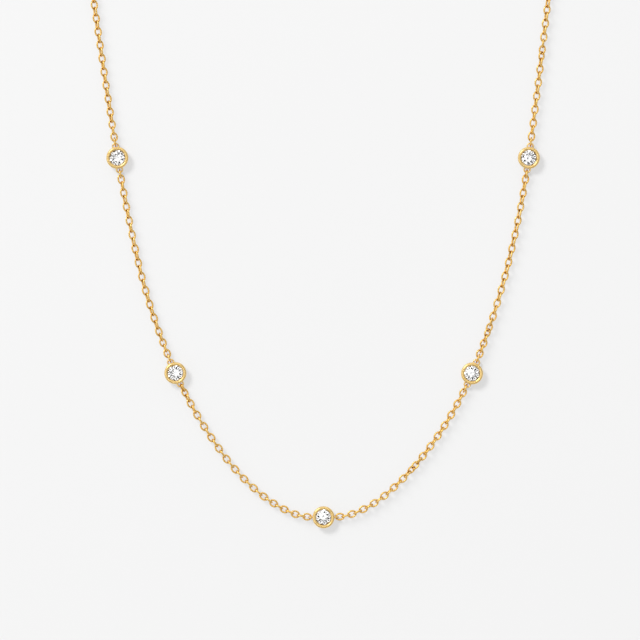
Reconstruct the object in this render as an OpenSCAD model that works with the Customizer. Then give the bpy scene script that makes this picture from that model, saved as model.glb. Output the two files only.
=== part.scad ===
// Choker: a fine cable chain with five round stones in bezel settings and a spring ring clasp.
// It lies closed and face up. X runs across the neck, Y from the throat to the nape and Z up from
// the table, with the origin on the table in the middle of the loop. Left and right are as seen from above.

/* [Chain] */
// Diameter of the wire that the links are bent from
link_wire = 0.32; // [0.30:0.01:0.32]
// Width of a link over its wires
link_width = 1.50; // [1.48:0.01:1.52]
// How far two neighbouring links can be pulled apart before their wires meet
link_play = 0.12; // [0.12:0.01:0.14]

/* [Settings] */
// Outer diameter of a bezel
bezel_d = 4.40; // [4.38:0.01:4.42]
// Diameter of the opening over the stone
opening_d = 3.06; // [3.02:0.02:3.08]
// Height of a bezel
bezel_h = 2.00; // [1.98:0.01:2.04]
// Outer diameter of the two loops soldered to a bezel
eye_d = 1.50; // [1.49:0.01:1.51]

/* [Stones] */
// Diameter of a stone at its girdle
stone_d = 3.20; // [3.16:0.02:3.20]
// Width of the table as a share of the stone's diameter
table_share = 0.60; // [0.55:0.01:0.62]
// Angle of the main facets above the girdle
crown_angle = 34.5; // [33:0.5:35]
// Angle of the main facets below the girdle
pavilion_angle = 40.8; // [40:0.2:41]

/* [Clasp] */
// Outer diameter of the spring ring
clasp_d = 5.50; // [5.3:0.1:5.6]
// Diameter of the tube that the spring ring is bent from
clasp_tube = 0.76; // [0.72:0.01:0.76]

/* [Hidden] */
gold = "#E0AD4E";
white = "#EEF2F5";
left = -1;
right = 1;
flat = 0;
upright = 90;
$fn = 32;

// The chain's line from the front bezel up each side, which lie a little differently:
// [length, left turn, right turn in degrees]
visible_route = [
    [2.4, 0.7, 1.6],
    [4, 22.3, 20.1],
    [8, 17.4, 19.9],
    [10, 12.8, 10.0],
    [20, 13.2, 16.1],
    [24, 10.9, 8.8],
    [22, 3.5, 6.1],
    [31.6, 1.4, 0.9],
];

// Start of each stretch as [arc, x, y, heading], and one more for the end of the last. On either
// side x is measured outward from the front bezel's middle.
function advance(s, row) =
    let (heading = s[3] + row[1])
    row[1] == 0
        ? [s[0] + row[0], s[1] + row[0] * cos(heading), s[2] + row[0] * sin(heading), heading]
        : let (bend = row[0] / row[1] * 180 / PI)
          [s[0] + row[0],
           s[1] + bend * (sin(heading) - sin(s[3])),
           s[2] - bend * (cos(heading) - cos(s[3])),
           heading];
function starts(rows) =
    [for (i = 0, s = [0, 0, 0, 0]; i <= len(rows); s = advance(s, rows[min(i, len(rows) - 1)]), i = i + 1) s];

// Over the nape one round arc from each side joins the two, where both run straight across
left_seen = [for (row = visible_route) [row[0], row[1]]];
right_seen = [for (row = visible_route) [row[0], row[2]]];
left_end = starts(left_seen)[len(left_seen)];
right_end = starts(right_seen)[len(right_seen)];
left_slant = tan(left_end[3] / 2);
right_slant = tan(right_end[3] / 2);
nape_x = (right_end[2] - left_end[2] + right_end[1] / right_slant - left_end[1] / left_slant)
    / (1 / left_slant + 1 / right_slant);
left_radius = (left_end[1] + nape_x) / sin(left_end[3]);
right_radius = (right_end[1] - nape_x) / sin(right_end[3]);
function nape_arc(radius, end) = [radius * (180 - end[3]) * PI / 180, 180 - end[3]];
left_route = concat(left_seen, [nape_arc(left_radius, left_end)]);
right_route = concat(right_seen, [nape_arc(right_radius, right_end)]);
left_starts = starts(left_route);
right_starts = starts(right_route);
function route(side) = side == left ? left_route : right_route;
function route_starts(side) = side == left ? left_starts : right_starts;
function half_loop(side) = route_starts(side)[len(route(side))][0];
nape_y = right_starts[len(right_route)][2];
loop_mid_x = nape_x + (right_radius - left_radius) / 2;
loop_mid_y = (nape_y + clasp_d / 2 - bezel_d / 2) / 2;

// Place on a side's line at an arc length from the front: [x, y, heading]
function stretch_at(arc, side) =
    len([for (i = [1 : len(route(side)) - 1]) if (route_starts(side)[i][0] < arc) i]);
function route_at(arc, side) =
    let (i = stretch_at(arc, side),
         s = route_starts(side)[i],
         gone = arc - s[0],
         p = advance(s, [gone, route(side)[i][1] * gone / route(side)[i][0]]))
    [p[1], p[2], p[3]];

// Heights and reaches that follow from the sizes above
chain_z = link_width / 2;
wall_r = bezel_d / 2 - 0.05;
lip_land = 0.02;
lip_r = (bezel_d - opening_d + lip_land) / 4;
lip_z = bezel_h - lip_r;
eye_r = (eye_d - link_wire) / 2;
eye_offset = wall_r + 0.22;
stone_lift = 0.06;
stone_gap = 0.05;
back_r = 1.30;

// Where the bezels sit along the line, and the first two links beyond a bezel's loop. The second
// of them sits further out where the links are long.
lower_arc = 43.65;
upper_arc = 88.4;
front_reach = wall_r + 1.13;
eye_reach = wall_r + 1.11;
next_reach = wall_r + 2.11;
long_next_reach = wall_r + 2.19;
last_link_arc = 168.2;

// The chain lengths, as rows of [link number, arc, turn about the chain in degrees].
// Links between two rows are evenly spaced and every next link stands across the one before.
front_left = [
    [0, front_reach, 0],
    [8, 12.98, 0],
    [20, 28.86, 4],
    [26, 36.82, 12],
    [28, lower_arc - long_next_reach, 35],
    [29, lower_arc - eye_reach, 15],
];
front_right = [
    [0, front_reach, 0],
    [6, 10.72, 6],
    [13, 19.60, 12],
    [17, 24.30, 100],
    [29, lower_arc - next_reach, 102],
    [30, lower_arc - eye_reach, 94],
];
side_left = [
    [0, lower_arc + eye_reach, 90],
    [1, lower_arc + next_reach, 98],
    [5, 52.60, 106],
    [24, 79.90, 107],
    [27, upper_arc - long_next_reach, 102],
    [28, upper_arc - eye_reach, 94],
];
side_right = [
    [0, lower_arc + eye_reach, 90],
    [1, lower_arc + next_reach, 96],
    [4, 51.20, 102],
    [8, 55.80, 192],
    [12, 61.40, 198],
    [25, 79.90, 198],
    [28, upper_arc - long_next_reach, 192],
    [29, upper_arc - eye_reach, 184],
];
back_left = [
    [0, upper_arc + eye_reach, 90],
    [1, upper_arc + next_reach, 100],
    [5, 97.70, 108],
    [57, last_link_arc, 106],
];
back_right = [
    [0, upper_arc + eye_reach, 90],
    [1, upper_arc + long_next_reach, 97],
    [12, 107.70, 104],
    [16, 112.80, 194],
    [20, 118.30, 197],
    [57, last_link_arc, 195],
];

function column(track, c) = [for (row = track) [row[0], row[c]]];
function links_in(track) = track[len(track) - 1][0];
function link_arc(track, i) = lookup(i, column(track, 1));
function link_turn(track, i) = 90 * i + lookup(i, column(track, 2));

// A link just spans the wider of its two gaps, in sizes a fiftieth of a millimetre apart
shortest_gap = 1.20;
size_step = 0.02;
function link_gap(track, i) =
    size_step * ceil(max(
        shortest_gap,
        link_arc(track, min(i + 1, links_in(track))) - link_arc(track, i),
        link_arc(track, i) - link_arc(track, max(i - 1, 0))) / size_step);

module on_route(arc, side, lift = 0) {
    place = route_at(arc, side);
    translate([side * place[0] - loop_mid_x, place[1] - loop_mid_y, lift])
        rotate([0, 0, side > 0 ? place[2] : 180 - place[2]])
            children();
}

// A ring of round wire with two straight sides, long along X and flat
module wire_oval(inner_length, width, wire) {
    bend = (width - wire) / 2;
    straight = inner_length + wire - 2 * bend;
    for (end = [-1, 1]) {
        translate([end * straight / 2, 0, 0])
            rotate([0, 0, -90 * end])
                rotate_extrude(angle = 180)
                    translate([bend, 0]) circle(d = wire);
        translate([0, end * bend, 0])
            rotate([0, 90, 0])
                cylinder(h = straight, d = wire, center = true);
    }
}

// A round ring of wire that lies flat
module wire_ring(radius, wire) {
    rotate_extrude() translate([radius, 0]) circle(d = wire);
}

module chain(track, side) {
    color(gold)
        for (i = [0 : links_in(track)])
            on_route(link_arc(track, i), side, chain_z)
                rotate([link_turn(track, i), 0, 0])
                    wire_oval(link_gap(track, i) + link_play, link_width, link_wire);
}

// Outline of the metal around a stone: a straight wall under a rounded lip, with a seat cut in it
module bezel_profile() {
    seat_r = stone_d / 2 + stone_gap;
    under = stone_lift - stone_gap / cos(pavilion_angle);
    over = girdle_top() + stone_gap / cos(crown_angle);
    opening_r = opening_d / 2;
    foot = 0.1;
    difference() {
        union() {
            polygon([[0, 0], [wall_r - foot, 0], [wall_r, foot], [wall_r, lip_z], [0, lip_z]]);
            translate([bezel_d / 2 - lip_r, lip_z]) circle(r = lip_r);
        }
        polygon([
            [0, -1],
            [back_r, -1],
            [back_r, under + back_r * tan(pavilion_angle)],
            [seat_r, under + seat_r * tan(pavilion_angle)],
            [seat_r, over - stone_gap * tan(crown_angle)],
            [opening_r, over + (stone_d / 2 - opening_r) * tan(crown_angle)],
            [opening_r, bezel_h + 1],
            [0, bezel_h + 1],
        ]);
    }
}

// A bezel with its two soldered loops, lying flat or standing upright
module bezel(eye_turn) {
    color(gold) {
        rotate_extrude($fn = 64) bezel_profile();
        for (end = [-1, 1])
            translate([end * eye_offset, 0, chain_z])
                rotate([eye_turn, 0, 0])
                    wire_ring(eye_r, link_wire);
    }
}

// Round brilliant: table, eight stars, eight kites and sixteen halves above the girdle,
// sixteen halves and eight mains below it
girdle_band = 0.06;
function girdle_top() = stone_lift + stone_d / 2 * tan(pavilion_angle) + girdle_band;
function ring_points(count, radius, z, first) =
    [for (i = [0 : count - 1]) [radius * cos(first + i * 360 / count), radius * sin(first + i * 360 / count), z]];

module stone(turn) {
    r = stone_d / 2;
    table_r = r * table_share;
    star_r = (table_r * cos(22.5) + r) / 2;
    lower_r = 0.24 * r;
    crown_z = girdle_top();
    points = concat(
        ring_points(8, table_r, crown_z + (r - table_r) * tan(crown_angle), 0),
        ring_points(8, star_r, crown_z + (r - star_r * cos(22.5)) * tan(crown_angle), 22.5),
        ring_points(16, r, crown_z, 0),
        ring_points(16, r, crown_z - girdle_band, 0),
        ring_points(8, lower_r, stone_lift + lower_r * cos(22.5) * tan(pavilion_angle), 22.5),
        [[0, 0, stone_lift]]
    );
    table = 0;
    star = 8;
    upper = 16;
    lower = 32;
    under = 48;
    culet = 56;
    facets = concat(
        [[for (i = [7 : -1 : 0]) table + i]],
        [for (i = [0 : 7]) let (n = (i + 1) % 8, p = (i + 7) % 8, g = 2 * i, h = (2 * i + 1) % 16, m = (2 * i + 2) % 16)
            each [
                [table + i, table + n, star + i],
                [table + i, star + i, upper + g, star + p],
                [star + i, upper + h, upper + g],
                [star + i, upper + m, upper + h],
                [upper + g, upper + h, lower + h, lower + g],
                [upper + h, upper + m, lower + m, lower + h],
                [lower + g, lower + h, under + i],
                [lower + h, lower + m, under + i],
                [lower + g, under + i, culet, under + p],
            ]]
    );
    color(white) rotate([0, 0, turn]) polyhedron(points, facets);
}

// The last of the chain by the clasp, as a plain tube over its links
module chain_tube(from_arc, to_arc, side) {
    rings = 10;
    sides = 8;
    radius = link_width / 2;
    points = [for (i = [0 : rings - 1])
        let (place = route_at(from_arc + (to_arc - from_arc) * i / (rings - 1), side))
        for (j = [0 : sides - 1])
            let (a = 360 * (j + 0.5) / sides, across = radius * cos(a))
            [side * (place[0] - across * sin(place[2])) - loop_mid_x,
             place[1] + across * cos(place[2]) - loop_mid_y,
             chain_z + radius * sin(a)]];
    walls = [for (i = [0 : rings - 2], j = [0 : sides - 1])
        let (k = (j + 1) % sides)
        [i * sides + j, i * sides + k, (i + 1) * sides + k, (i + 1) * sides + j]];
    caps = [[for (j = [sides - 1 : -1 : 0]) j], [for (j = [0 : sides - 1]) (rings - 1) * sides + j]];
    color(gold) polyhedron(points, concat(walls, caps));
}

// Spring ring closed on the end ring, with the bolt showing thinner than the tube it slides in
module clasp() {
    ring_r = (clasp_d - clasp_tube) / 2;
    bolt_d = clasp_tube * 0.7;
    bolt_span = 70;
    knob_d = 0.5;
    knob_at = -110;
    color(gold)
        translate([nape_x - loop_mid_x, nape_y - loop_mid_y, clasp_z]) {
            rotate([0, 0, 60]) rotate_extrude(angle = 360 - bolt_span, $fn = 64)
                translate([ring_r, 0]) circle(d = clasp_tube);
            wire_ring(ring_r, bolt_d, $fn = 64);
            rotate([0, 0, knob_at]) translate([ring_r, 0, 0]) rotate([0, 90, 0]) cylinder(h = 0.8, d = knob_d);
            translate([-clasp_d / 2 - 0.12, 0, chain_z + 0.06 - clasp_z]) wire_ring(eye_r, link_wire);
        }
}
clasp_z = link_wire + 0.13 + clasp_tube / 2;
end_ring_hole = 1.50;

// Oval ring on edge that ends the chain and holds the spring ring
module end_ring() {
    width = clasp_tube + 0.26 + 2 * link_wire;
    start = clasp_d / 2 - clasp_tube - 0.12;
    color(gold)
        translate([nape_x - loop_mid_x + start + end_ring_hole / 2, nape_y - loop_mid_y, width / 2])
            rotate([90, 0, 0])
                wire_oval(end_ring_hole, width, link_wire);
}

tube_start = last_link_arc + 1.20;
clasp_side_end = half_loop(left) - clasp_d / 2 - 1.0;
ring_side_end = half_loop(right) - clasp_d / 2 - 1.1;

chain(front_left, left);  // chain_front_left
chain(front_right, right);  // chain_front_right
chain(side_left, left);  // chain_side_left
chain(side_right, right);  // chain_side_right
chain(back_left, left);  // chain_back_left
chain(back_right, right);  // chain_back_right
chain_tube(tube_start, clasp_side_end, left);  // chain_nape_left
chain_tube(tube_start, ring_side_end, right);  // chain_nape_right
on_route(0, right) bezel(upright);  // bezel_front
on_route(lower_arc, left) bezel(flat);  // bezel_lower_left
on_route(lower_arc, right) bezel(flat);  // bezel_lower_right
on_route(upper_arc, left) bezel(flat);  // bezel_upper_left
on_route(upper_arc, right) bezel(flat);  // bezel_upper_right
on_route(0, right) stone(12);  // stone_front
on_route(lower_arc, left) stone(31);  // stone_lower_left
on_route(lower_arc, right) stone(5);  // stone_lower_right
on_route(upper_arc, left) stone(38);  // stone_upper_left
on_route(upper_arc, right) stone(20);  // stone_upper_right
clasp();
end_ring();
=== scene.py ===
# Choker with five bezel-set stones: the looks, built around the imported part
import bpy
import math
import random
import numpy as np
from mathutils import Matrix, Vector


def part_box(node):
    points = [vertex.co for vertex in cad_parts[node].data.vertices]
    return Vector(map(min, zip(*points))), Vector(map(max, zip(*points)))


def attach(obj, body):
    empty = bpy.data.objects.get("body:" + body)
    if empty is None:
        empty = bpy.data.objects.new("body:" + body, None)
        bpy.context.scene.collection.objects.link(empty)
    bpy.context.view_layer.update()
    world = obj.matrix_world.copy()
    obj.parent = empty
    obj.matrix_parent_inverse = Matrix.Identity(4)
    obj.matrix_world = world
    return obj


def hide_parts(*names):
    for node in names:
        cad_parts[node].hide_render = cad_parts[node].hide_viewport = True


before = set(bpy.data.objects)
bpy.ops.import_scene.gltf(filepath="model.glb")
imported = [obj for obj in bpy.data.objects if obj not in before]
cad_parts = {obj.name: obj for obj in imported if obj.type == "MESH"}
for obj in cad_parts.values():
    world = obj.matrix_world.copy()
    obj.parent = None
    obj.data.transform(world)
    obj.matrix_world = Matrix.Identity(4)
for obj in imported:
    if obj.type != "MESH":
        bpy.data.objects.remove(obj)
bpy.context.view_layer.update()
mm = 0.001
print("frame loaded,", len(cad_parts), "nodes")

# The camera looks straight down on the stretch of the necklace that shows, as in the photo
photoView = {
    "width": 128.15,          # mm across the picture at the height of the chain
    "level": 1.0,             # mm, that height
    "middle": (-0.106, -39.312),  # mm, the point of the table in the middle of the picture
    "height": 900.0,          # mm above the table
    "sensor": 36.0,
}


def addCamera(view):
    data = bpy.data.cameras.new("cameraAbove")
    data.sensor_width = view["sensor"]
    data.lens = view["sensor"] * (view["height"] - view["level"]) / view["width"]
    data.clip_start = 0.01
    data.dof.use_dof = False
    camera = bpy.data.objects.new("cameraAbove", data)
    x, y = view["middle"]
    camera.location = (x * mm, y * mm, view["height"] * mm)
    bpy.context.scene.collection.objects.link(camera)
    bpy.context.scene.camera = camera


addCamera(photoView)
print("camera placed")


# A mesh from arrays in millimetres
def makePiece(name, verts, faces, material, tone=None):
    mesh = bpy.data.meshes.new(name)
    mesh.from_pydata((np.asarray(verts) * mm).tolist(), [], [[int(i) for i in face] for face in faces])
    mesh.validate()
    mesh.materials.append(material)
    if tone is not None:  # a number for each point, which the material may read
        layer = mesh.attributes.new("linkTone", "FLOAT", "POINT")
        layer.data.foreach_set("value", np.asarray(tone, dtype=np.float32))
    piece = bpy.data.objects.new(name, mesh)
    bpy.context.scene.collection.objects.link(piece)
    return piece


def dress(piece, node, sharpAngle=40):
    piece.data.shade_smooth()
    piece.data.set_sharp_from_angle(angle=math.radians(sharpAngle))
    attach(piece, "root")
    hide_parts(node)
    return piece


def hexLinear(code):
    parts = [int(code[i:i + 2], 16) / 255 for i in (1, 3, 5)]
    return tuple(p / 12.92 if p <= 0.04045 else ((p + 0.055) / 1.055) ** 2.4 for p in parts) + (1.0,)


# Adds a node; settings and links go by socket name or number, and other settings are its own properties
def addNode(tree, kind, settings=None, links=None):
    node = tree.nodes.new(kind)
    for key, value in (settings or {}).items():
        if isinstance(key, int) or key in node.inputs:
            node.inputs[key].default_value = value
        else:
            setattr(node, key, value)
    for key, source in (links or {}).items():
        tree.links.new(source, node.inputs[key])
    return node


def emptyMaterial(name):
    material = bpy.data.materials.new(name)
    material.use_nodes = True
    material.node_tree.nodes.clear()
    return material


# Scale of a noise whose features are this many millimetres apart
def perMillimetre(spacing):
    return 1 / (spacing * mm)


# 14 carat yellow gold, polished by tumbling or on a mop. It mirrors what is round it, and only the
# slight waves left by polishing spread the glints. Rubbed places are paler. The hollows between wires,
# and wherever other metal lies close, get painted shade: their colour is darkened towards brown.
goldLooks = {
    "goldDrawnWire": {
        "pale": "#FAD586", "deep": "#F4BE5A",
        "patch": 0.9,                        # mm between paler and deeper places
        # painted shade: a brown laid on the gold in the hollows, standing in for the shade there
        "paintedShade": "#B5761A",
        "paintedShadeReach": 0.5,                    # mm within which another surface deepens the painted shade
        "paintedShadeFull": 0.40, "paintedShadeNone": 0.92,  # share of open space round a place
        "smooth": 0.05, "dull": 0.18,        # roughness
        "haze": 0.45,                        # mm between smoother and duller places
        "ripple": 0.55, "rippleDepth": 0.006,  # mm apart and deep
        "grain": 0.06, "grainDepth": 0.0006,
    },
    "goldBurnishedBezel": {
        "pale": "#FADB9A", "deep": "#F5CB78",
        "patch": 2.2,
        # painted shade in the hollows, as for the wire
        "paintedShade": "#A8691E",
        "paintedShadeReach": 0.35,
        "paintedShadeFull": 0.20, "paintedShadeNone": 0.70,
        "smooth": 0.05, "dull": 0.13,
        "haze": 0.8,
        "ripple": 1.2, "rippleDepth": 0.006,
        "grain": 0.08, "grainDepth": 0.0003,
    },
    "goldPressedClasp": {
        "pale": "#F7D489", "deep": "#F1C062",
        "patch": 1.6,
        "paintedShade": "#A8691E",
        # painted shade in the hollows, as for the wire
        "paintedShadeReach": 0.5,
        "paintedShadeFull": 0.20, "paintedShadeNone": 0.70,
        "smooth": 0.05, "dull": 0.18,
        "haze": 0.6,
        "ripple": 0.8, "rippleDepth": 0.008,
        "grain": 0.07, "grainDepth": 0.0006,
    },
}


def polishedGold(name):
    look = goldLooks[name]
    material = emptyMaterial(name)
    tree = material.node_tree
    place = addNode(tree, "ShaderNodeTexCoord").outputs["Object"]
    patches = addNode(tree, "ShaderNodeTexNoise", {"Scale": perMillimetre(look["patch"]), "Detail": 2.0},
                      {"Vector": place})
    perLink = addNode(tree, "ShaderNodeAttribute", {"attribute_name": "linkTone"})
    blend = addNode(tree, "ShaderNodeMath", {"operation": "ADD", "use_clamp": True},
                    {0: patches.outputs[0], 1: perLink.outputs["Fac"]})
    colour = addNode(tree, "ShaderNodeMix", {"data_type": "RGBA", 6: hexLinear(look["pale"]),
                                             7: hexLinear(look["deep"])}, {0: blend.outputs[0]})
    # Painted shade: the colour goes towards the brown where the ambient-occlusion node finds other metal close by
    openness = addNode(tree, "ShaderNodeAmbientOcclusion", {"samples": 8, "Distance": look["paintedShadeReach"] * mm})
    reached = addNode(tree, "ShaderNodeMapRange",
                      {"From Min": look["paintedShadeFull"], "From Max": look["paintedShadeNone"]},
                      {"Value": openness.outputs["AO"]})
    colourWithPaintedShade = addNode(tree, "ShaderNodeMix", {"data_type": "RGBA", 6: hexLinear(look["paintedShade"])},
                         {0: reached.outputs[0], 7: colour.outputs[2]})
    haze = addNode(tree, "ShaderNodeTexNoise", {"Scale": perMillimetre(look["haze"]), "Detail": 3.0},
                   {"Vector": place})
    rough = addNode(tree, "ShaderNodeMapRange", {"From Min": 0.35, "From Max": 0.7, "To Min": look["smooth"],
                                                 "To Max": look["dull"]}, {"Value": haze.outputs[0]})
    ripple = addNode(tree, "ShaderNodeTexNoise", {"Scale": perMillimetre(look["ripple"]), "Detail": 1.0},
                     {"Vector": place})
    waves = addNode(tree, "ShaderNodeBump", {"Strength": 1.0, "Distance": look["rippleDepth"] * mm},
                    {"Height": ripple.outputs[0]})
    grain = addNode(tree, "ShaderNodeTexNoise", {"Scale": perMillimetre(look["grain"]), "Detail": 2.0},
                    {"Vector": place})
    skin = addNode(tree, "ShaderNodeBump", {"Strength": 1.0, "Distance": look["grainDepth"] * mm},
                   {"Height": grain.outputs[0], "Normal": waves.outputs[0]})
    shader = addNode(tree, "ShaderNodeBsdfPrincipled", {"Metallic": 1.0},
                     {"Base Color": colourWithPaintedShade.outputs[2], "Roughness": rough.outputs[0],
                      "Normal": skin.outputs[0]})
    addNode(tree, "ShaderNodeOutputMaterial", links={"Surface": shader.outputs[0]})
    return material


gold = {name: polishedGold(name) for name in goldLooks}

# Diamond, cut as a round brilliant and polished. Light goes in by the crown, turns back at the lower
# facets and comes out white from most and dark from a few. The girdle is left ground.
stoneLook = {
    "tint": "#FDFEFF",
    "ior": 2.42,
    "polish": 0.0,
    "ground": 0.45,       # roughness of the girdle
    "girdleTop": 1.501,   # mm above the table
    "girdleBand": 0.06,
}


def cutDiamond(look):
    material = emptyMaterial("diamondBrilliantCut")
    tree = material.node_tree
    place = addNode(tree, "ShaderNodeTexCoord").outputs["Object"]
    height = addNode(tree, "ShaderNodeSeparateXYZ", links={0: place}).outputs[2]
    middle = (look["girdleTop"] - look["girdleBand"] / 2) * mm
    offMiddle = addNode(tree, "ShaderNodeMath", {"operation": "SUBTRACT", 1: middle}, {0: height})
    away = addNode(tree, "ShaderNodeMath", {"operation": "ABSOLUTE"}, {0: offMiddle.outputs[0]})
    edge = look["girdleBand"] / 2 * mm
    rough = addNode(tree, "ShaderNodeMapRange", {"From Min": edge * 0.98, "From Max": edge * 1.02,
                                                 "To Min": look["ground"], "To Max": look["polish"]},
                    {"Value": away.outputs[0]})
    shader = addNode(tree, "ShaderNodeBsdfPrincipled",
                     {"Base Color": hexLinear(look["tint"]), "IOR": look["ior"],
                      "Transmission Weight": 1.0}, {"Roughness": rough.outputs[0]})
    addNode(tree, "ShaderNodeOutputMaterial", links={"Surface": shader.outputs[0]})
    return material


stoneMaterial = cutDiamond(stoneLook)
print("materials made:", ", ".join(gold), "and", stoneMaterial.name)

# The line on which chain and bezels lie, from the front bezel up each side: length in mm, and turn in
# degrees on the left and on the right, which lie a little differently
line = {
    "stretches": [(2.4, 0.7, 1.6), (4, 22.3, 20.1), (8, 17.4, 19.9), (10, 12.8, 10.0), (20, 13.2, 16.1),
                  (24, 10.9, 8.8), (22, 3.5, 6.1), (31.6, 1.4, 0.9)],
    "lowerBezel": 43.65,  # mm along the line from the front bezel
    "upperBezel": 88.4,
}
left, right = -1, 1
lowCorner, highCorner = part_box("bezel_front")
frontX = (lowCorner.x + highCorner.x) / 2 / mm
frontY = (lowCorner.y + highCorner.y) / 2 / mm


# A place further along the line, as (arc, x, y, heading)
def advance(at, length, turn):
    arc, x, y, heading = at
    onward = heading + turn
    if turn == 0:
        a = math.radians(heading)
        return (arc + length, x + length * math.cos(a), y + length * math.sin(a), onward)
    bend = length / math.radians(turn)
    a, b = math.radians(heading), math.radians(onward)
    return (arc + length, x + bend * (math.sin(b) - math.sin(a)),
            y - bend * (math.cos(b) - math.cos(a)), onward)


# Stretches of one side and the place where each starts; x is measured outward from the front bezel
def laySide(side):
    rows = [(length, turnLeft if side == left else turnRight)
            for length, turnLeft, turnRight in line["stretches"]]
    starts = [(0.0, 0.0, 0.0, 0.0)]
    for row in rows:
        starts.append(advance(starts[-1], *row))
    return rows, starts


# One round arc a side joins the two over the nape, where both run straight across
def joinAtNape(sides):
    ends = {side: starts[-1] for side, (rows, starts) in sides.items()}
    slant = {side: math.tan(math.radians(end[3] / 2)) for side, end in ends.items()}
    x = ((ends[right][2] - ends[left][2] + ends[right][1] / slant[right] - ends[left][1] / slant[left])
         / (1 / slant[left] + 1 / slant[right]))
    for side, (rows, starts) in sides.items():
        turn = 180 - ends[side][3]
        radius = (ends[side][1] - side * x) / math.sin(math.radians(turn))
        rows.append((radius * math.radians(turn), turn))
        starts.append(advance(starts[-1], *rows[-1]))
    return frontX + x


sides = {left: laySide(left), right: laySide(right)}
napeX = joinAtNape(sides)
napeY = frontY + sides[right][1][-1][2]
halfLoop = {side: starts[-1][0] for side, (rows, starts) in sides.items()}


# Middle and direction of the line at an arc length on one side
def onLine(arc, side):
    rows, starts = sides[side]
    i = max(k for k in range(len(rows)) if starts[k][0] <= max(arc, 0))
    length, turn = rows[i]
    gone = arc - starts[i][0]
    _, x, y, heading = advance(starts[i], gone, turn * gone / length)
    return frontX + side * x, frontY + y, math.radians(heading if side == right else 180 - heading)


# Cable chain: oval links of round wire, each closed by a solder seam on one long side
chain = {
    "wire": 0.36,
    "width": 1.56,
    "play": 0.03,         # mm that two links can slide
    "shortestGap": 1.20,
    "roundness": 2.0,     # 2 is an ellipse, more is squarer
    "around": 40,         # steps along a link's wire
    "sides": 12,          # steps round the wire
    "seam": 0.012,        # mm that the solder stands proud
    "seamLength": 0.09,
    "lowest": 0.68,       # mm, height of the middle of a link that lies flat
    "clear": 0.01,        # mm between a standing link and the table
    "rollJitter": 4.0,    # degrees that a link is off its neighbours' rule
    "pitchJitter": 2.0,
    "yawJitter": 1.5,
    "toneJitter": 0.16,
}
wallRadius = 2.15               # mm, the bezels' straight wall
frontReach = wallRadius + 1.13  # mm from a bezel's middle to the first link on the front bezel
loopReach = wallRadius + 1.11   # to the first link on the others
nextReach = wallRadius + 2.11   # to the second link
longReach = wallRadius + 2.19   # to the second link where the links are long
toClasp = 3.92                  # mm from the middle of the nape to the last link on the clasp's side
toEndRing = 3.99                # and on the other side
lower = line["lowerBezel"]
upper = line["upperBezel"]

# For each length of chain: its side, its first and last link, and rows of link number, arc in mm and
# turn in degrees about the chain
backLeft = [(0, upper + loopReach, 90), (1, upper + nextReach, 102), (5, 97.70, 112), (57, 168.20, 110),
            (78, halfLoop[left] - toClasp, 90)]
backRight = [(0, upper + loopReach, 90), (1, upper + longReach, 98), (12, 107.70, 106), (16, 112.80, 196),
             (20, 118.30, 200), (57, 168.20, 198), (78, halfLoop[right] - toEndRing, 180)]
lengths = {
    "chain_front_left": (left, 0, 29, [
        (0, frontReach, 0), (8, 12.98, 0), (20, 28.86, 4), (26, 36.82, 12), (28, lower - longReach, 35),
        (29, lower - loopReach, 15)]),
    "chain_front_right": (right, 0, 30, [
        (0, frontReach, 0), (6, 10.72, 6), (13, 19.60, 12), (17, 24.30, 100), (29, lower - nextReach, 102),
        (30, lower - loopReach, 94)]),
    "chain_side_left": (left, 0, 28, [
        (0, lower + loopReach, 90), (1, lower + nextReach, 100), (5, 52.60, 110), (24, 79.90, 112),
        (27, upper - longReach, 104), (28, upper - loopReach, 94)]),
    "chain_side_right": (right, 0, 29, [
        (0, lower + loopReach, 90), (1, lower + nextReach, 96), (4, 51.20, 102), (8, 55.80, 192),
        (12, 61.40, 200), (25, 79.90, 202), (28, upper - longReach, 194), (29, upper - loopReach, 184)]),
    "chain_back_left": (left, 0, 57, backLeft),
    "chain_nape_left": (left, 58, 78, backLeft),
    "chain_back_right": (right, 0, 57, backRight),
    "chain_nape_right": (right, 58, 78, backRight),
}


# Points and faces of round wire swept along a closed flat curve
def wireRing(curve, radius, sides):
    ahead = np.roll(curve, -1, 0) - np.roll(curve, 1, 0)
    ahead /= np.linalg.norm(ahead, axis=1)[:, None]
    outward = np.c_[ahead[:, 1], -ahead[:, 0]]
    a = np.arange(sides) * 2 * math.pi / sides
    across = np.outer(radius, np.cos(a))
    rise = np.outer(radius, np.sin(a))
    xy = curve[:, None, :] + outward[:, None, :] * across[:, :, None]
    verts = np.concatenate([xy, rise[:, :, None]], axis=2).reshape(-1, 3)
    i, j = np.meshgrid(np.arange(len(curve)), np.arange(sides), indexing="ij")
    n, m = (i + 1) % len(curve), (j + 1) % sides
    faces = np.stack([i * sides + j, n * sides + j, n * sides + m, i * sides + m], axis=2).reshape(-1, 4)
    return verts, faces


def linkMesh(innerLength, seamSide, spec):
    t = (np.arange(spec["around"]) + 0.5) * 2 * math.pi / spec["around"]
    power = 2 / spec["roundness"]
    halfLength = (innerLength + spec["wire"]) / 2
    halfWidth = (spec["width"] - spec["wire"]) / 2
    curve = np.c_[halfLength * np.sign(np.cos(t)) * abs(np.cos(t)) ** power,
                  halfWidth * np.sign(np.sin(t)) * abs(np.sin(t)) ** power]
    onSeam = np.exp(-(curve[:, 0] / spec["seamLength"]) ** 2) * (curve[:, 1] * seamSide > 0)
    return wireRing(curve, spec["wire"] / 2 + spec["seam"] * onSeam, spec["sides"])


def rotation(roll, pitch, yaw):
    cr, sr = math.cos(roll), math.sin(roll)
    cp, sp = math.cos(pitch), math.sin(pitch)
    cy, sy = math.cos(yaw), math.sin(yaw)
    aboutX = np.array([[1, 0, 0], [0, cr, -sr], [0, sr, cr]])
    aboutY = np.array([[cp, 0, sp], [0, 1, 0], [-sp, 0, cp]])
    aboutZ = np.array([[cy, -sy, 0], [sy, cy, 0], [0, 0, 1]])
    return aboutZ @ aboutY @ aboutX


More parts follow.
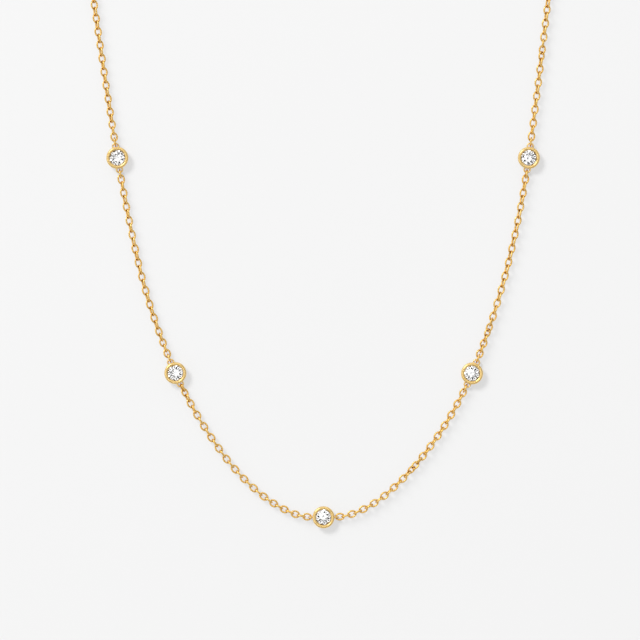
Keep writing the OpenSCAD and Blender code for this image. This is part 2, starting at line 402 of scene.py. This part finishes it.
def chainLength(node, spec):
    side, first, last, rows = lengths[node]
    numbers = np.arange(rows[-1][0] + 1)
    arcs = np.interp(numbers, [r[0] for r in rows], [r[1] for r in rows])
    turns = np.interp(numbers, [r[0] for r in rows], [r[2] for r in rows]) + 90 * numbers
    chance = random.Random(node)
    verts, faces, tones = [], [], []
    for i in range(first, last + 1):
        gap = max(spec["shortestGap"], *np.diff(arcs[max(i - 1, 0):i + 2]))
        ring, skin = linkMesh(gap + spec["play"], chance.choice((-1, 1)), spec)
        x, y, heading = onLine(arcs[i], side)
        roll = math.radians(turns[i] + chance.gauss(0, 0.5) * spec["rollJitter"])
        pitch = math.radians(chance.gauss(0, 0.5) * spec["pitchJitter"])
        yaw = heading + math.radians(chance.gauss(0, 0.5) * spec["yawJitter"])
        standing = ((spec["width"] - spec["wire"]) / 2 * abs(math.sin(roll)) + spec["wire"] / 2
                    + spec["clear"])
        place = np.array([x, y, max(spec["lowest"], standing)])
        faces.append(skin + sum(len(v) for v in verts))
        verts.append(ring @ rotation(roll, pitch, yaw).T + place)
        tones.append(np.full(len(ring), chance.uniform(-1, 1) * spec["toneJitter"]))
    piece = makePiece(node + "_links", np.concatenate(verts), np.concatenate(faces), gold["goldDrawnWire"],
                      np.concatenate(tones))
    return dress(piece, node)


shadowPieces = {"chain": [chainLength(node, chain) for node in lengths], "settings": []}
print("chain made:", sum(last - first + 1 for _, first, last, _ in lengths.values()), "links")

# Bezel: a turned cup with its lip burnished down over the stone, and a loop soldered on each side
bezel = {
    "lipRadius": 0.34,
    "lipMiddle": (1.86, 1.66),  # mm from the axis and above the table
    "backRadius": 1.30,
    "foot": 0.12,
    "steps": 128,
    "lipWave": 0.014,     # mm that the burnisher leaves the lip uneven
    "loopRadius": 0.59,
    "loopWire": 0.32,
    "loopOffset": 2.37,
    "loopHeight": 0.75,
    "solder": 0.20,       # mm, radius of the solder where a loop meets the wall
    "solderDepth": 0.03,  # mm that its middle lies inside the wall
    "top": 2.0,           # mm, height of the frame's bezel
    "waveFrom": 1.3,      # mm above the table where the lip starts to wave
    "waveOver": 0.4,      # mm over which it comes to its full
    "waveOutside": 1.50,  # mm from the axis; nearer in, the seat is true
    "grip": [(1.526, 1.635), (1.540, 1.605)],   # the lip's edge on the crown
    "seat": [(1.64, 1.52), (1.65, 1.42)],       # round the girdle
    "underSeat": [1.116, 0.6],                  # heights on the back's wall
}


# Outline of the metal as (mm from the axis, mm above the table), from the back's inner edge outward
def bezelOutline(spec):
    lipR, (lipX, lipZ) = spec["lipRadius"], spec["lipMiddle"]
    foot, back = spec["foot"], spec["backRadius"]
    points = [(back, 0.05), (back + 0.015, 0.015), (back + 0.05, 0.0), (wallRadius - foot, 0.0)]
    points += [(wallRadius - foot + foot * math.sin(a), foot - foot * math.cos(a))
               for a in np.radians([30, 60, 90])]
    points += [(wallRadius - 0.012, 0.5), (wallRadius - 0.015, 0.9), (wallRadius - 0.005, 1.25)]
    points += [(lipX + lipR * math.cos(a), lipZ + lipR * math.sin(a))
               for a in np.radians(np.linspace(-35, 180, 25))]
    points += spec["grip"] + spec["seat"] + [(back, height) for height in spec["underSeat"]]
    return np.array(points)


# The cup as turned from its outline, with the lip's waves
def turned(outline, spec, chance):
    steps, count = spec["steps"], len(outline)
    a = np.arange(steps) * 2 * math.pi / steps
    waves = [sum(chance.uniform(0.3, 1) * np.cos(k * a + chance.uniform(0, 2 * math.pi)) / k
                 for k in (2, 3, 5, 7)) for _ in range(2)]
    onLip = (np.clip((outline[:, 1] - spec["waveFrom"]) / spec["waveOver"], 0, 1)
             * (outline[:, 0] > spec["waveOutside"]))
    r = outline[:, 0][None, :] + spec["lipWave"] * waves[0][:, None] * onLip
    z = outline[:, 1][None, :] + spec["lipWave"] * waves[1][:, None] * onLip * 0.6
    z -= max(0.0, z.max() - spec["top"])  # no part stands higher than the frame's bezel
    z = np.maximum(z, 0)
    verts = np.stack([r * np.cos(a)[:, None], r * np.sin(a)[:, None], z], axis=2).reshape(-1, 3)
    i, j = np.meshgrid(np.arange(steps), np.arange(count), indexing="ij")
    n, m = (i + 1) % steps, (j + 1) % count
    faces = np.stack([i * count + j, n * count + j, n * count + m, i * count + m], axis=2).reshape(-1, 4)
    return verts, faces


def ballMesh(centre, radius, rings=10, steps=16):
    verts = [np.array([0, 0, -radius])]
    for i in range(1, rings):
        up = math.pi * i / rings - math.pi / 2
        for j in range(steps):
            a = 2 * math.pi * j / steps
            verts.append(radius * np.array([math.cos(up) * math.cos(a), math.cos(up) * math.sin(a),
                                            math.sin(up)]))
    verts.append(np.array([0, 0, radius]))
    top = len(verts) - 1
    faces = []
    for j in range(steps):
        n = (j + 1) % steps
        faces.append([0, 1 + n, 1 + j])
        for i in range(rings - 2):
            faces.append([1 + i * steps + j, 1 + i * steps + n,
                          1 + (i + 1) * steps + n, 1 + (i + 1) * steps + j])
        faces.append([top, 1 + (rings - 2) * steps + j, 1 + (rings - 2) * steps + n])
    return np.array(verts) + np.array(centre), faces


def circleCurve(radius, count):
    a = (np.arange(count) + 0.5) * 2 * math.pi / count
    return np.c_[radius * np.cos(a), radius * np.sin(a)]


# Turns points about Z and moves them onto the table's plan
def settle(verts, x, y, heading):
    return np.asarray(verts) @ rotation(0, 0, heading).T + np.array([x, y, 0])


# Joins metal parts into one skin, as solder does
def solderTogether(base, others):
    for other in others:
        joint = base.modifiers.new("solder", "BOOLEAN")
        joint.operation = "UNION"
        joint.solver = "EXACT"
        joint.object = other
    bpy.context.view_layer.update()
    whole = bpy.data.meshes.new_from_object(base.evaluated_get(bpy.context.evaluated_depsgraph_get()))
    base.modifiers.clear()
    base.data = whole
    for other in others:
        bpy.data.objects.remove(other)
    return base


def bezelPiece(node, arc, side, upright, spec):
    chance = random.Random(node)
    x, y, heading = onLine(arc, side)
    metal = gold["goldBurnishedBezel"]
    verts, faces = turned(bezelOutline(spec), spec, chance)
    cup = makePiece(node + "_cup", settle(verts, x, y, heading), faces, metal)
    parts = []
    for end in (-1, 1):
        ring, skin = wireRing(circleCurve(spec["loopRadius"], 48), np.full(48, spec["loopWire"] / 2), 16)
        ring = ring @ rotation(math.pi / 2 if upright else 0, 0, 0).T
        centre = np.array([end * spec["loopOffset"], 0, spec["loopHeight"]])
        parts.append(makePiece("loop", settle(ring + centre, x, y, heading), skin, metal))
        meet = math.sqrt(spec["loopRadius"] ** 2 - (spec["loopOffset"] - wallRadius) ** 2)
        for way in (-1, 1):
            off = (0, way * meet) if upright else (way * meet, 0)
            blob, skin = ballMesh((end * (wallRadius - spec["solderDepth"]), off[0],
                                   spec["loopHeight"] + off[1]), spec["solder"])
            parts.append(makePiece("solder", settle(blob, x, y, heading), skin, metal))
    cup = solderTogether(cup, parts)
    cup.name = node + "_cup"
    return dress(cup, node)


places = {  # mm along the line, side, and whether its loops stand upright
    "front": (0, right, True),
    "lower_left": (lower, left, False),
    "lower_right": (lower, right, False),
    "upper_left": (upper, left, False),
    "upper_right": (upper, right, False),
}
for name, (arc, side, upright) in places.items():
    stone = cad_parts["stone_" + name]
    shadowPieces["settings"] += [bezelPiece("bezel_" + name, arc, side, upright, bezel), stone]
    stone.data.materials.clear()
    stone.data.materials.append(stoneMaterial)
    stone.data.shade_flat()
print("bezels and stones made")

# Spring ring: a tube bent round, its bolt thinner in the gap, a thumb knob and a soldered loop
clasp = {
    "outer": 5.50,
    "tube": 0.76,
    "bolt": 0.53,
    "height": 0.83,       # mm of its middle above the table
    "gapFrom": -10,       # degrees, where the bolt shows
    "gapTo": 60,
    "knobAt": -110,
    "knobLength": 0.80,
    "knobSteps": [(0.30, 0.20), (0.45, 0.21), (0.60, 0.23), (0.72, 0.25)],  # share of it, radius in mm
    "loopHeight": 0.81,
    "loopOut": 0.12,      # mm from the ring's edge to the loop's middle
    "mouth": 0.05,        # mm that the tube's rolled mouth stands proud
    "mouthAt": 2.5,       # degrees in from its end
    "mouthWide": 1.6,
    "mouthRound": 0.04,   # mm less at the very end
    "boltHidden": 8,      # degrees of bolt inside the tube at each end
}


# Round bar bent along part of a circle, with a radius for each step and closed ends
def bentBar(ringRadius, fromAngle, toAngle, radii, sides):
    a = np.radians(np.linspace(fromAngle, toAngle, len(radii)))
    b = np.arange(sides) * 2 * math.pi / sides
    r = ringRadius + np.outer(radii, np.cos(b))
    z = np.outer(radii, np.sin(b))
    verts = np.stack([r * np.cos(a)[:, None], r * np.sin(a)[:, None], z], axis=2).reshape(-1, 3)
    faces = [[i * sides + j, i * sides + (j + 1) % sides,
              (i + 1) * sides + (j + 1) % sides, (i + 1) * sides + j]
             for i in range(len(radii) - 1) for j in range(sides)]
    faces.append(list(range(sides))[::-1])
    faces.append([(len(radii) - 1) * sides + j for j in range(sides)])
    return verts, faces


def claspPiece(spec):
    metal = gold["goldPressedClasp"]
    ringRadius = (spec["outer"] - spec["tube"]) / 2
    lift = np.array([napeX, napeY, spec["height"]])
    count = 120
    along = np.linspace(0, 1, count)
    radii = np.full(count, spec["tube"] / 2)
    nearMouth = np.minimum(along, 1 - along) * (360 + spec["gapFrom"] - spec["gapTo"])
    radii += spec["mouth"] * np.exp(-((nearMouth - spec["mouthAt"]) / spec["mouthWide"]) ** 2)
    radii[[0, -1]] -= spec["mouthRound"]
    verts, faces = bentBar(ringRadius, spec["gapTo"], 360 + spec["gapFrom"], radii, 28)
    ring = makePiece("clasp_ring", verts + lift, faces, metal)
    verts, faces = bentBar(ringRadius, spec["gapFrom"] - spec["boltHidden"], spec["gapTo"] + spec["boltHidden"],
                           np.full(40, spec["bolt"] / 2), 24)
    parts = [makePiece("bolt", verts + lift, faces, metal)]
    a = math.radians(spec["knobAt"])
    outward = np.array([math.cos(a), math.sin(a), 0])
    for step, radius in spec["knobSteps"]:
        middle = lift + outward * (ringRadius + step * spec["knobLength"])
        verts, faces = ballMesh(middle, radius, 14, 20)
        parts.append(makePiece("knob", verts, faces, metal))
    verts, faces = wireRing(circleCurve(bezel["loopRadius"], 48), np.full(48, bezel["loopWire"] / 2), 16)
    loopPlace = np.array([napeX - spec["outer"] / 2 - spec["loopOut"], napeY, spec["loopHeight"]])
    parts.append(makePiece("loop", verts + loopPlace, faces, metal))
    ring = solderTogether(ring, parts)
    ring.name = "clasp_spring_ring"
    return dress(ring, "clasp")


shadowPieces["chain"].append(claspPiece(clasp))

# Oval ring on edge that ends the chain and holds the clasp
endRing = {
    "wire": 0.32,
    "hole": 1.50,         # mm along the chain
    "slack": 0.26,        # mm that the clasp's tube has in it from side to side
    "near": 0.12,         # mm between the hole's end and the clasp's tube
    "roundness": 2.6,
}


def endRingPiece(spec):
    width = clasp["tube"] + spec["slack"] + 2 * spec["wire"]
    middle = napeX + clasp["outer"] / 2 - clasp["tube"] - spec["near"] + spec["hole"] / 2
    shape = dict(chain, wire=spec["wire"], width=width, roundness=spec["roundness"], around=56, sides=16)
    verts, faces = linkMesh(spec["hole"], 1, shape)
    verts = verts @ rotation(math.pi / 2, 0, 0).T + np.array([middle, napeY, width / 2])
    piece = makePiece("end_ring_oval", verts, faces, gold["goldDrawnWire"])
    return dress(piece, "end_ring")


shadowPieces["chain"].append(endRingPiece(endRing))
print("clasp and end ring made")

# Opal acrylic under the choker, lit from below so that only the lamps' shadows show on it. The metal
# and the stones mirror a soft white tent and a round soft lamp at the upper left. Two more lamps there
# light the acrylic alone, the lower one for the shadow of the chain, which so falls as far off as that
# of the higher settings.
studio = {
    "acrylic": "#6A6A6A",
    "grain": 0.8,             # mm between the bumps of its matt face
    "grainDepth": 0.01,       # mm
    "glow": 0.495,            # what the acrylic gives out by itself
    "cardSize": 6000.0,       # mm
    "lampFrom": (-0.68, 0.73),  # plan direction of the lamps
    "lampDistance": 4000.0,   # mm
    "lamps": {                # degrees above the table, diameter in mm, radiance, whose shadow it throws
        "softLamp": (46.0, 1600.0, 4.5, None),
        "settingsLamp": (47.0, 1400.0, 62.0, "settings"),
        "chainLamp": (31.0, 1800.0, 32.0, "chain"),
    },
    "lit": 1.5,               # the tent's walls on the side of the lamps
    "unlit": 0.8,             # its other walls
    "turnOver": (-0.15, 0.50),  # where the one passes into the other, as the cosine to the lamps
    "low": 0.03,              # below the walls
    "wallsFrom": (0.17, 0.30),  # where the walls begin, as the sine above the table
    "top": 1.5,
    "gap": 0.03,
    "gaps": [(26.0, 41.5), (6.0, 12.0)],  # where it is dark overhead, in degrees from straight up
    "gapBlur": 0.012,         # how softly the gaps end
    "backdrop": 0.90,         # what the camera would see beyond the card
}


def opalAcrylic(look):
    material = emptyMaterial("acrylicOpalLit")
    tree = material.node_tree
    place = addNode(tree, "ShaderNodeTexCoord").outputs["Object"]
    grain = addNode(tree, "ShaderNodeTexNoise", {"Scale": perMillimetre(look["grain"]), "Detail": 4.0},
                    {"Vector": place})
    bump = addNode(tree, "ShaderNodeBump", {"Strength": 0.1, "Distance": look["grainDepth"] * mm},
                   {"Height": grain.outputs[0]})
    shader = addNode(tree, "ShaderNodeBsdfPrincipled",
                     {"Base Color": hexLinear(look["acrylic"]), "Roughness": 0.9, "Specular IOR Level": 0.1,
                      "Emission Color": (1, 1, 1, 1), "Emission Strength": look["glow"]},
                     {"Normal": bump.outputs[0]})
    addNode(tree, "ShaderNodeOutputMaterial", links={"Surface": shader.outputs[0]})
    return material


def layCard(look):
    half = look["cardSize"] / 2
    corners = [(-half, -half, 0), (half, -half, 0), (half, half, 0), (-half, half, 0)]
    card = makePiece("card", corners, [[0, 1, 2, 3]], opalAcrylic(look))


# A round lamp, either for what mirrors or for the card, where it throws the shadow of some pieces
def hangLamp(look, name):
    height, size, radiance, shaded = look["lamps"][name]
    data = bpy.data.lights.new(name, "AREA")
    data.shape = "DISK"
    data.size = size * mm
    data.energy = radiance * math.pi * (data.size / 2) ** 2 * math.pi
    lamp = bpy.data.objects.new(name, data)
    up = math.radians(height)
    x, y = look["lampFrom"]
    reach = look["lampDistance"] * mm
    lamp.location = (x * math.cos(up) * reach, y * math.cos(up) * reach, math.sin(up) * reach)
    lamp.rotation_euler = (math.pi / 2 - up, 0, math.atan2(y, x) + math.pi / 2)
    lamp.visible_diffuse = shaded is not None
    lamp.visible_glossy = lamp.visible_transmission = shaded is None
    if shaded:
        blockers = bpy.data.collections.new(name + "Blockers")
        for piece in shadowPieces[shaded]:
            blockers.objects.link(piece)
        lamp.light_linking.blocker_collection = blockers
    bpy.context.scene.collection.objects.link(lamp)


# World as a light tent: white walls, brighter towards the lamps and dark below, and over them a white
# top with two dark round gaps in it, which put dark spots in the stones
def lightTent(look):
    world = bpy.data.worlds.new("lightTent")
    world.use_nodes = True
    tree = world.node_tree
    tree.nodes.clear()
    way = addNode(tree, "ShaderNodeTexCoord").outputs["Generated"]
    up = addNode(tree, "ShaderNodeSeparateXYZ", links={0: way}).outputs[2]
    towardsLamps = addNode(tree, "ShaderNodeVectorMath",
                           {"operation": "DOT_PRODUCT", 1: (*look["lampFrom"], 0)}, {0: way})
    steps = [  # what is mapped, from, to, and the brightness on either side; None is what was there
        (towardsLamps.outputs["Value"], *look["turnOver"], look["unlit"], look["lit"]),
        (up, *look["wallsFrom"], look["low"], None),
    ]
    for inner, outer in look["gaps"]:
        for edge, level in ((outer, look["gap"]), (inner, look["top"])):
            a = math.radians(edge)
            blur = look["gapBlur"] * math.sin(a)
            steps.append((up, math.cos(a) - blur, math.cos(a) + blur, None, level))
    light = None
    for value, start, end, before, after in steps:
        part = addNode(tree, "ShaderNodeMapRange",
                       {"interpolation_type": "SMOOTHSTEP", "From Min": start, "From Max": end}, {"Value": value})
        mix = addNode(tree, "ShaderNodeMix", {"data_type": "FLOAT"}, {0: part.outputs[0]})
        for socket, level in ((2, before), (3, after)):
            if level is None:
                tree.links.new(light, mix.inputs[socket])
            else:
                mix.inputs[socket].default_value = level
        light = mix.outputs[0]
    tent = addNode(tree, "ShaderNodeBackground", links={"Strength": light})
    plain = addNode(tree, "ShaderNodeBackground", {"Strength": look["backdrop"]})
    seen = addNode(tree, "ShaderNodeLightPath").outputs["Is Camera Ray"]
    both = addNode(tree, "ShaderNodeMixShader", links={0: seen, 1: tent.outputs[0], 2: plain.outputs[0]})
    for background in (tent, plain):
        background.inputs["Color"].default_value = (1, 1, 1, 1)
    addNode(tree, "ShaderNodeOutputWorld", links={"Surface": both.outputs[0]})
    bpy.context.scene.world = world


layCard(studio)
for name in studio["lamps"]:
    hangLamp(studio, name)
lightTent(studio)
bpy.context.scene.view_settings.view_transform = "Standard"
print("card and lights set")
